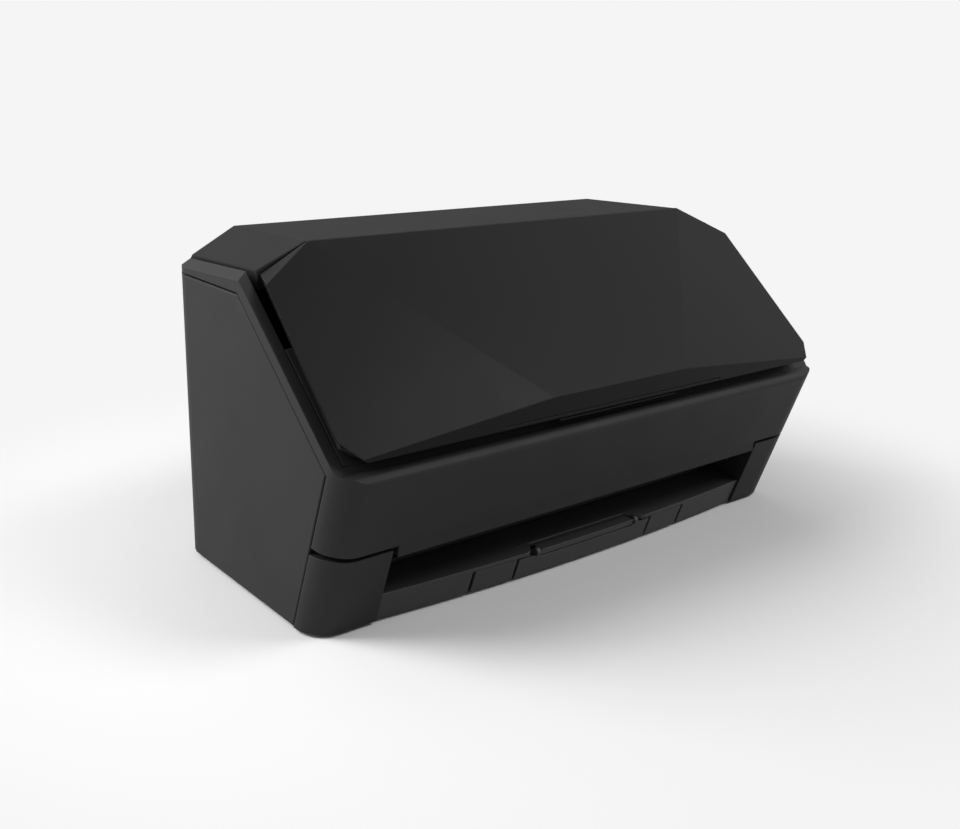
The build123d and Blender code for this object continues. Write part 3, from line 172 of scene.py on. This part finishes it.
# Lid: the faceted outer shell of the folding paper chute.
# The same moulded ABS in a slightly deeper black, with a finer grain that gives
# the facets a soft gloss.
# Its strong edge lightening is mostly a painted highlight along the facets' edges, with some wear.
lid_black = moulded_plastic("lid_black", (0.0055, 0.0055, 0.0057), 0.4, grain=0.00028, depth=0.000005,
                            edge=0.0008, wear_highlight=1.8, sheen=0.088)
dress(lid_black, "lid_shell", "chute_extension")


# Stacker trays and paper stop.
# Black ABS with a coarser, drier grain, because paper and fingers slide on them.
tray_black = moulded_plastic("tray_black", (0.014, 0.014, 0.0145), 0.6, grain=0.00045, depth=0.000016,
                             sheen=0.55)
dress(tray_black, "stacker_stage_1", "stacker_stage_2", "stacker_stage_3", "paper_stop")


# Deck, guides and other pieces seen once the lid or the front is open.
# Smooth black ABS, a little glossier, so that sheets glide on it.
inner_black = moulded_plastic("inner_black", (0.016, 0.016, 0.0165), 0.42, grain=0.0006, depth=0.000006,
                              sheen=0.3)
dress(inner_black, "lid_inner_plate", "deck", "paper_guide", "upper_guide", "side_guide_left",
      "side_guide_right", "bay_cover", "lower_sensor", "upper_sensor")


# Paper ribs on the lid's inner plate, which turns into the chute once the lid is open.
# Moulded in one with the plate in smooth black ABS; sheets slide on them, not on the plate.
slope_top = 0.134
slope_run = 0.0667
slope_rise = 0.058
slope_length = math.hypot(slope_run, slope_rise)
plate_face = 0.007
rib_places = (-0.105, -0.075, -0.045, -0.015, 0.015, 0.045, 0.075, 0.105)
rib_start = 0.038
rib_end = 0.084
rib_width = 0.0013
rib_rise = 0.00045
rib_root = 0.0002
rib_rings = 41
rib_sides = 16
merge_reach = 0.0000005


def closed_skin(name, grids):
    """One mesh from grids of points. Each row runs round to its start; the rows follow one another
    from pole to pole, or back to a last row that repeats the first. Points that fall together
    are merged, which closes the poles and the joint, and faces are turned outwards."""
    mesh = bpy.data.meshes.new(name)
    points = np.concatenate([grid.reshape(-1, 3) for grid in grids])
    faces = []
    first = 0
    for grid in grids:
        rows, columns = grid.shape[:2]
        index = first + np.arange(rows * columns).reshape(rows, columns)
        turned = np.roll(index, -1, axis=1)
        faces.append(np.stack([index[:-1], turned[:-1], turned[1:], index[1:]], axis=-1).reshape(-1, 4))
        first += rows * columns
    mesh.from_pydata(points.tolist(), [], np.concatenate(faces).tolist())
    shell = bmesh.new()
    shell.from_mesh(mesh)
    bmesh.ops.remove_doubles(shell, verts=shell.verts, dist=merge_reach)
    bmesh.ops.recalc_face_normals(shell, faces=shell.faces)
    shell.to_mesh(mesh)
    shell.free()
    mesh.shade_smooth()
    made = bpy.data.objects.new(name, mesh)
    bpy.context.scene.collection.objects.link(made)
    return made


def paper_rib(middle):
    """A rib: a half ellipse across, carried down the slope; both its ends taper to a point.
    The taper is the root of one minus the fourth power of the distance from the rib's middle."""
    along = np.linspace(-1.0, 1.0, rib_rings)
    taper = np.sqrt(np.clip(1.0 - along ** 4, 0.0, 1.0))
    around = np.linspace(0.0, 2.0 * math.pi, rib_sides, endpoint=False)
    across = np.cos(around) * rib_width / 2.0
    height = np.where(np.sin(around) > 0.0, np.sin(around) * rib_rise, np.sin(around) * rib_root)
    down = (rib_start + rib_end) / 2.0 + along * (rib_end - rib_start) / 2.0
    level = plate_face - height[None, :] * taper[:, None]
    place = np.empty((along.size, around.size, 3))
    place[..., 0] = middle + across[None, :] * taper[:, None]
    place[..., 1] = -(down[:, None] * slope_run + level * slope_rise) / slope_length
    place[..., 2] = slope_top + (level * slope_run - down[:, None] * slope_rise) / slope_length
    return place


paper_ribs = closed_skin("paper_ribs", [paper_rib(middle) for middle in rib_places])
paper_ribs.data.materials.append(inner_black)
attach(paper_ribs, "lid")


# Touch panel in the deck: a black frame, a glass front and a circuit board behind it.
# The glass is printed black from behind and polished.
panel_frame = moulded_plastic("panel_frame", (0.012, 0.012, 0.0125), 0.3, depth=0.000004, sheen=0.45)
dress(panel_frame, "panel_bezel")
screen_black = moulded_plastic("screen_black", (0.004, 0.0042, 0.0048), 0.09, grain=0.003,
                               depth=0.0000015, edge=0.0003, wear_highlight=0.1, sheen=0.5)
dress(screen_black, "panel_glass")


# Circuit boards: glass fibre sheet under green solder mask.
# The mask's weave shows faintly; copper runs are left out.
board_green = moulded_plastic("board_green", (0.012, 0.075, 0.032), 0.36, grain=0.0008, depth=0.00001,
                              edge=0.0002, wear_highlight=0.2)
dress(board_green, "main_board", "panel_board")


# Acetal pieces: the guide pinion, the motor pulley, bushes and the brake roller.
# Natural white acetal, waxy and slightly translucent.
acetal_depth = 0.08
acetal_white = moulded_plastic("acetal_white", (0.72, 0.71, 0.67), 0.38, grain=0.0009, depth=0.000004,
                               edge=0.0003, wear_highlight=0.15)
acetal_white.node_tree.nodes["Principled BSDF"].inputs["Subsurface Weight"].default_value = acetal_depth
dress(acetal_white, "guide_pinion", "motor_pulley", "shaft_bushes", "brake_roller")


# Rubber: roller tyres, feet and the belt.
# Ground rubber, nearly black, with a fine dusty bloom and no gloss.
pit_octaves = 5.0
pit_share = 1.0 / 14.0
mottle_low = 0.35
mottle_high = 0.7
mottle_dark = 0.85
mottle_pale = 1.2
rubber_sheen = 0.3


def ground_rubber(name, colour, roughness, grain):
    """Noise of the given size both pits the surface and mottles the colour by about a sixth."""
    made = bpy.data.materials.new(name)
    made.use_nodes = True
    tree = made.node_tree
    skin = tree.nodes["Principled BSDF"]
    place = tree.nodes.new("ShaderNodeTexCoord")
    pits = tree.nodes.new("ShaderNodeTexNoise")
    pits.inputs["Scale"].default_value = 1.0 / grain
    pits.inputs["Detail"].default_value = pit_octaves
    tree.links.new(place.outputs["Object"], pits.inputs["Vector"])
    bump = tree.nodes.new("ShaderNodeBump")
    bump.inputs["Distance"].default_value = grain * pit_share
    tree.links.new(pits.outputs["Fac"], bump.inputs["Height"])
    tree.links.new(bump.outputs["Normal"], skin.inputs["Normal"])
    mottle = tree.nodes.new("ShaderNodeValToRGB")
    mottle.color_ramp.elements[0].position = mottle_low
    mottle.color_ramp.elements[0].color = (*[c * mottle_dark for c in colour], 1.0)
    mottle.color_ramp.elements[1].position = mottle_high
    mottle.color_ramp.elements[1].color = (*[c * mottle_pale for c in colour], 1.0)
    tree.links.new(pits.outputs["Fac"], mottle.inputs["Fac"])
    tree.links.new(mottle.outputs["Color"], skin.inputs["Base Color"])
    skin.inputs["Roughness"].default_value = roughness
    skin.inputs["Specular IOR Level"].default_value = rubber_sheen
    return made


tyre_grey = ground_rubber("tyre_grey", (0.06, 0.06, 0.062), 0.78, 0.0007)
foot_black = ground_rubber("foot_black", (0.028, 0.028, 0.028), 0.82, 0.0006)
dress(foot_black, "rubber_feet", "drive_belt")


# Treads of the driven rollers: moulded rubber rings with cross grooves that grip the
# sheet, pressed on the steel shafts. They take the places of the plain tyres.
tyre_width = 0.012
tyre_bore = 0.003
shoulder = 0.0008
groove_depth = 0.0005
groove_pitch = 0.0016
groove_points = 10
groove_slope = 3.0
groove_share = 1.4
crease_angle = math.radians(35.0)
pick_places = (-0.018, 0.018)
drive_places = (-0.075, -0.03, 0.03, 0.075)


def grooved_tyre(node, middle):
    """A tyre: bore, flank, eased shoulder and tread carried round the shaft. The tread sinks
    by the groove depth where the cosine of the groove count times the angle is high."""
    low, high = (np.array(corner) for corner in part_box(node))
    axle = (low + high)[1:] / 2.0
    radius = (high[2] - low[2]) / 2.0
    grooves = round(2.0 * math.pi * radius / groove_pitch)
    half_width = tyre_width / 2.0
    offset = np.array([-half_width, -half_width, -half_width + shoulder, half_width - shoulder,
                       half_width, half_width, -half_width])
    reach = np.array([tyre_bore, radius - shoulder, radius, radius, radius - shoulder, tyre_bore, tyre_bore])
    tread = reach > radius - shoulder / 2.0
    around = np.linspace(0.0, 2.0 * math.pi, grooves * groove_points, endpoint=False)
    sink = groove_depth * np.clip(groove_slope * np.cos(grooves * around) - groove_share, 0.0, 1.0)
    wheel = reach[:, None] - tread[:, None] * sink[None, :]
    place = np.empty((offset.size, around.size, 3))
    place[..., 0] = middle + offset[:, None]
    place[..., 1] = axle[0] + wheel * np.cos(around)[None, :]
    place[..., 2] = axle[1] + wheel * np.sin(around)[None, :]
    return place


for node, body, middles in (("pick_tyres", "pick_roller", pick_places),
                            ("feed_tyres", "feed_roller", drive_places),
                            ("exit_tyres", "exit_roller", drive_places)):
    treads = closed_skin(node + "_grooved", [grooved_tyre(node, middle) for middle in middles])
    treads.data.set_sharp_from_angle(angle=crease_angle)
    treads.data.materials.append(tyre_grey)
    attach(treads, body)
    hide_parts(node)


# Metal: frame plates, tie bars, shafts, idlers, pins and motor case.
# Zinc-plated or ground steel; fine streaks run across the pieces from drawing and grinding.
streak_scale = 40.0
streak_octaves = 5.0
streak_depth = 0.000006
polished_by = 0.08
dulled_by = 0.1
streak_dark = 0.88
streak_pale = 1.08


def drawn_steel(name, colour, roughness, streak=(1.0, 60.0, 60.0)):
    """Noise stretched along one axis gives the streaks; it varies roughness and bump together."""
    made = bpy.data.materials.new(name)
    made.use_nodes = True
    tree = made.node_tree
    skin = tree.nodes["Principled BSDF"]
    place = tree.nodes.new("ShaderNodeTexCoord")
    stretch = tree.nodes.new("ShaderNodeMapping")
    stretch.inputs["Scale"].default_value = streak
    tree.links.new(place.outputs["Object"], stretch.inputs["Vector"])
    lines = tree.nodes.new("ShaderNodeTexNoise")
    lines.inputs["Scale"].default_value = streak_scale
    lines.inputs["Detail"].default_value = streak_octaves
    tree.links.new(stretch.outputs["Vector"], lines.inputs["Vector"])
    gloss = tree.nodes.new("ShaderNodeMapRange")
    gloss.inputs["To Min"].default_value = roughness - polished_by
    gloss.inputs["To Max"].default_value = roughness + dulled_by
    tree.links.new(lines.outputs["Fac"], gloss.inputs["Value"])
    tree.links.new(gloss.outputs["Result"], skin.inputs["Roughness"])
    bump = tree.nodes.new("ShaderNodeBump")
    bump.inputs["Distance"].default_value = streak_depth
    tree.links.new(lines.outputs["Fac"], bump.inputs["Height"])
    tree.links.new(bump.outputs["Normal"], skin.inputs["Normal"])
    tone = tree.nodes.new("ShaderNodeValToRGB")
    tone.color_ramp.elements[0].color = (*[c * streak_dark for c in colour], 1.0)
    tone.color_ramp.elements[1].color = (*[min(1.0, c * streak_pale) for c in colour], 1.0)
    tree.links.new(lines.outputs["Fac"], tone.inputs["Fac"])
    tree.links.new(tone.outputs["Color"], skin.inputs["Base Color"])
    skin.inputs["Metallic"].default_value = 1.0
    return made


plated_steel = drawn_steel("plated_steel", (0.56, 0.57, 0.58), 0.34, streak=(60.0, 1.0, 60.0))
dress(plated_steel, "left_frame_plate", "right_frame_plate", "frame_tie_bars")
ground_steel = drawn_steel("ground_steel", (0.62, 0.62, 0.63), 0.24, streak=(60.0, 4.0, 4.0))
dress(ground_steel, "pick_shaft", "feed_shaft", "exit_shaft", "feed_idlers", "exit_idlers",
      "cover_pivot_pins", "lid_hinge_pins")
motor_grey = drawn_steel("motor_grey", (0.34, 0.34, 0.35), 0.42)
dress(motor_grey, "drive_motor")


# Screws of the rear and bottom covers: cold-formed steel, zinc plated, with crossed
# recesses in their heads. They take the places of the plain screws.
head_radius = 0.003
head_height = 0.001
shank_radius = 0.0015
shank_length = 0.008
cross_reach = 0.0017
cross_half = 0.00034
cross_depth = 0.0007
cross_wall = 0.0001
cross_ramp = 0.0002
face_fall = 0.1
face_rings = 34
head_sides = 96
middle_row = 0.03
rear_pair = 0.06


def cross_screw(seat, out, side):
    """A screw from its seat outwards: a head whose face falls by a tenth to its rim, with the
    fourth power of the radius, and has two crossed slots with soft walls; then a straight edge,
    an underside and a plain shank. All of it is one profile carried round the axis."""
    face_radii = np.linspace(0.0, head_radius, face_rings)
    around = np.linspace(0.0, 2.0 * math.pi, head_sides, endpoint=False)
    flat_a = face_radii[:, None] * np.cos(around)[None, :]
    flat_b = face_radii[:, None] * np.sin(around)[None, :]
    slot_a = np.clip((cross_half - np.abs(flat_b)) / cross_wall + 0.5, 0.0, 1.0)
    slot_a = slot_a * np.clip((cross_reach - np.abs(flat_a)) / cross_ramp + 0.5, 0.0, 1.0)
    slot_b = np.clip((cross_half - np.abs(flat_a)) / cross_wall + 0.5, 0.0, 1.0)
    slot_b = slot_b * np.clip((cross_reach - np.abs(flat_b)) / cross_ramp + 0.5, 0.0, 1.0)
    fall = face_fall * (face_radii / head_radius)[:, None] ** 4
    level = head_height * (1.0 - fall) - cross_depth * np.maximum(slot_a, slot_b)
    radii = np.concatenate([face_radii, [head_radius, shank_radius, shank_radius, 0.0]])
    under = np.array([0.0, 0.0, head_height - shank_length, head_height - shank_length])
    level = np.concatenate([level, np.repeat(under[:, None], around.size, axis=1)])
    out = np.array(out)
    side = np.array(side)
    lift = np.cross(out, side)
    ring = np.cos(around)[None, :, None] * side + np.sin(around)[None, :, None] * lift
    return np.array(seat) + level[..., None] * out + radii[:, None, None] * ring


rear_low, rear_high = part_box("rear_screws")
rear_spots = [(x, rear_high[1] - head_height, z)
              for x in (rear_low[0] + head_radius, rear_high[0] - head_radius)
              for z in (rear_low[2] + head_radius, rear_high[2] - head_radius)]
bottom_low, bottom_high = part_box("bottom_screws")
bottom_spots = [(side * (bottom_high[0] - head_radius), y, bottom_low[2] + head_height)
                for side in (-1.0, 1.0) for y in (bottom_low[1] + head_radius, middle_row)]
bottom_spots += [(side * rear_pair, bottom_high[1] - head_radius, bottom_low[2] + head_height)
                 for side in (-1.0, 1.0)]
for node, body, spots, out in (("rear_screws", "base", rear_spots, (0.0, 1.0, 0.0)),
                               ("bottom_screws", "base", bottom_spots, (0.0, 0.0, -1.0))):
    screws = closed_skin(node + "_crossed", [cross_screw(spot, out, (1.0, 0.0, 0.0)) for spot in spots])
    screws.data.set_sharp_from_angle(angle=crease_angle)
    screws.data.materials.append(ground_steel)
    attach(screws, body)
    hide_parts(node)


# Data socket: a folded shell of nickel-plated sheet steel.
# It is soldered to the main board and looks out of the rear cover.
socket_nickel = drawn_steel("socket_nickel", (0.66, 0.65, 0.62), 0.26)
dress(socket_nickel, "usb_socket")


# Power inlet: a moulded black nylon shell round its contact pin.
# It stands on the main board behind a round hole in the rear cover.
jack_black = moulded_plastic("jack_black", (0.01, 0.01, 0.01), 0.4, depth=0.000006)
dress(jack_black, "dc_jack")


# Sensor glasses: clear float glass over the two image sensor bars, with faint smears
# from cleaning that dull it in patches.
glass_tint = (0.82, 0.9, 0.88, 1.0)
glass_index = 1.5
glass_clearness = 0.9
smear_scale = 22.0
smear_clear = 0.01
smear_dull = 0.07
sensor_glass = bpy.data.materials.new("sensor_glass")
sensor_glass.use_nodes = True
glass_skin = sensor_glass.node_tree.nodes["Principled BSDF"]
glass_skin.inputs["Base Color"].default_value = glass_tint
glass_skin.inputs["IOR"].default_value = glass_index
glass_skin.inputs["Transmission Weight"].default_value = glass_clearness
smears = sensor_glass.node_tree.nodes.new("ShaderNodeTexNoise")
smears.inputs["Scale"].default_value = smear_scale
smear_place = sensor_glass.node_tree.nodes.new("ShaderNodeTexCoord")
sensor_glass.node_tree.links.new(smear_place.outputs["Object"], smears.inputs["Vector"])
smear_range = sensor_glass.node_tree.nodes.new("ShaderNodeMapRange")
smear_range.inputs["To Min"].default_value = smear_clear
smear_range.inputs["To Max"].default_value = smear_dull
sensor_glass.node_tree.links.new(smears.outputs["Fac"], smear_range.inputs["Value"])
sensor_glass.node_tree.links.new(smear_range.outputs["Result"], glass_skin.inputs["Roughness"])
dress(sensor_glass, "lower_glass", "upper_glass")


# Studio: a pale floor that turns into the even backdrop, and four soft lamps.
# The left and near lamps light the side panel and the hood's left facet, the rear one
# the top edges and the front one the lid; the floor near the object keeps its shadow.
backdrop_tone = 0.913
floor_tone = 0.84
floor_roughness = 0.9
floor_sheen = 0.1
floor_reach = 6.0
shadow_kept = 0.14
shadow_gone = 0.34
sky_tone = 0.9
sky_strength = 0.25
low_aim = (0.0, 0.0, 0.08)
high_aim = (0.0, 0.0, 0.1)


def background_share(tree):
    """One for a ray that shows the background: from the camera, a gloss or a glass."""
    ray = tree.nodes.new("ShaderNodeLightPath")
    gloss_or_glass = tree.nodes.new("ShaderNodeMath")
    gloss_or_glass.operation = "MAXIMUM"
    tree.links.new(ray.outputs["Is Glossy Ray"], gloss_or_glass.inputs[0])
    tree.links.new(ray.outputs["Is Transmission Ray"], gloss_or_glass.inputs[1])
    share = tree.nodes.new("ShaderNodeMath")
    share.operation = "MAXIMUM"
    tree.links.new(ray.outputs["Is Camera Ray"], share.inputs[0])
    tree.links.new(gloss_or_glass.outputs["Value"], share.inputs[1])
    return share.outputs["Value"]


def pale_ground(name, near, far):
    """A matt floor that fades, between two distances from the middle, into the backdrop's tone."""
    made = bpy.data.materials.new(name)
    made.use_nodes = True
    tree = made.node_tree
    skin = tree.nodes["Principled BSDF"]
    skin.inputs["Base Color"].default_value = (floor_tone, floor_tone, floor_tone, 1.0)
    skin.inputs["Roughness"].default_value = floor_roughness
    skin.inputs["Specular IOR Level"].default_value = floor_sheen
    shown = tree.nodes.new("ShaderNodeEmission")
    shown.inputs["Color"].default_value = (backdrop_tone, backdrop_tone, backdrop_tone, 1.0)
    place = tree.nodes.new("ShaderNodeTexCoord")
    distance = tree.nodes.new("ShaderNodeVectorMath")
    distance.operation = "LENGTH"
    tree.links.new(place.outputs["Object"], distance.inputs[0])
    fade = tree.nodes.new("ShaderNodeMapRange")
    fade.interpolation_type = "SMOOTHSTEP"
    fade.inputs["From Min"].default_value = near
    fade.inputs["From Max"].default_value = far
    tree.links.new(distance.outputs["Value"], fade.inputs["Value"])
    share = tree.nodes.new("ShaderNodeMath")
    share.operation = "MULTIPLY"
    tree.links.new(fade.outputs["Result"], share.inputs[0])
    tree.links.new(background_share(tree), share.inputs[1])
    mixed = tree.nodes.new("ShaderNodeMixShader")
    tree.links.new(share.outputs["Value"], mixed.inputs["Fac"])
    tree.links.new(skin.outputs["BSDF"], mixed.inputs[1])
    tree.links.new(shown.outputs["Emission"], mixed.inputs[2])
    tree.links.new(mixed.outputs["Shader"], tree.nodes["Material Output"].inputs["Surface"])
    return made


floor_mesh = bpy.data.meshes.new("floor")
floor_corners = [(-floor_reach, -floor_reach, 0.0), (floor_reach, -floor_reach, 0.0),
                 (floor_reach, floor_reach, 0.0), (-floor_reach, floor_reach, 0.0)]
floor_mesh.from_pydata(floor_corners, [], [(0, 1, 2, 3)])
floor = bpy.data.objects.new("floor", floor_mesh)
bpy.context.scene.collection.objects.link(floor)
floor_mesh.materials.append(pale_ground("floor_pale", shadow_kept, shadow_gone))

surround = bpy.data.worlds.new("surround")
bpy.context.scene.world = surround
surround.use_nodes = True
sky = surround.node_tree
sky.nodes.clear()
sky_out = sky.nodes.new("ShaderNodeOutputWorld")
sky_mix = sky.nodes.new("ShaderNodeMixShader")
sky_light = sky.nodes.new("ShaderNodeBackground")
sky_seen = sky.nodes.new("ShaderNodeBackground")
sky_light.inputs["Color"].default_value = (sky_tone, sky_tone, sky_tone, 1.0)
sky_light.inputs["Strength"].default_value = sky_strength
sky_seen.inputs["Color"].default_value = (backdrop_tone, backdrop_tone, backdrop_tone, 1.0)
sky_seen.inputs["Strength"].default_value = 1.0
sky.links.new(background_share(sky), sky_mix.inputs["Fac"])
sky.links.new(sky_light.outputs["Background"], sky_mix.inputs[1])
sky.links.new(sky_seen.outputs["Background"], sky_mix.inputs[2])
sky.links.new(sky_mix.outputs["Shader"], sky_out.inputs["Surface"])


def soft_lamp(name, place, aim, size, power):
    """A square area lamp at a place, turned to face a point and not seen itself."""
    data = bpy.data.lights.new(name, "AREA")
    data.shape = "SQUARE"
    data.size = size
    data.energy = power
    lamp = bpy.data.objects.new(name, data)
    lamp.visible_camera = False
    direction = Vector(aim) - Vector(place)
    lamp.matrix_world = Matrix.Translation(place) @ direction.to_track_quat("-Z", "Y").to_matrix().to_4x4()
    bpy.context.scene.collection.objects.link(lamp)
    return lamp


soft_lamp("left_lamp", (-2.5, 2.3, 1.5), low_aim, 2.2, 88.0)
soft_lamp("near_lamp", (-0.6, 0.2, 0.62), high_aim, 0.35, 3.6)
soft_lamp("rear_lamp", (0.3, 2.0, 3.0), high_aim, 2.4, 9.0)
soft_lamp("front_lamp", (1.6, -1.45, 2.4), low_aim, 1.3, 44.0)


# Camera: where the photograph was taken from, solved from points on the body. The
# angles are its turn from the front, its rise above the desk and its tilt to one side.
frame_width = 960.0
focal_pixels = 1140.05
turn = math.radians(-39.807)
rise = math.radians(17.830)
roll = math.radians(1.924)
camera_place = Vector((-0.35787, -0.40976, 0.23126))
sensor_width = 36.0
nearest_seen = 0.01
back = Vector((math.sin(turn) * math.cos(rise), -math.cos(turn) * math.cos(rise), math.sin(rise)))
level = Vector((math.cos(turn), math.sin(turn), 0.0))
upward = back.cross(level)
right_way = math.cos(roll) * level + math.sin(roll) * upward
up_way = math.cos(roll) * upward - math.sin(roll) * level
camera_data = bpy.data.cameras.new("camera")
camera_data.sensor_fit = "HORIZONTAL"
camera_data.sensor_width = sensor_width
camera_data.lens = focal_pixels / frame_width * sensor_width
camera_data.clip_start = nearest_seen
camera = bpy.data.objects.new("camera", camera_data)
camera.matrix_world = Matrix(((right_way.x, up_way.x, back.x, camera_place.x),
                              (right_way.y, up_way.y, back.y, camera_place.y),
                              (right_way.z, up_way.z, back.z, camera_place.z),
                              (0.0, 0.0, 0.0, 1.0)))
bpy.context.scene.collection.objects.link(camera)
bpy.context.scene.camera = camera
bpy.context.scene.view_settings.view_transform = "Standard"
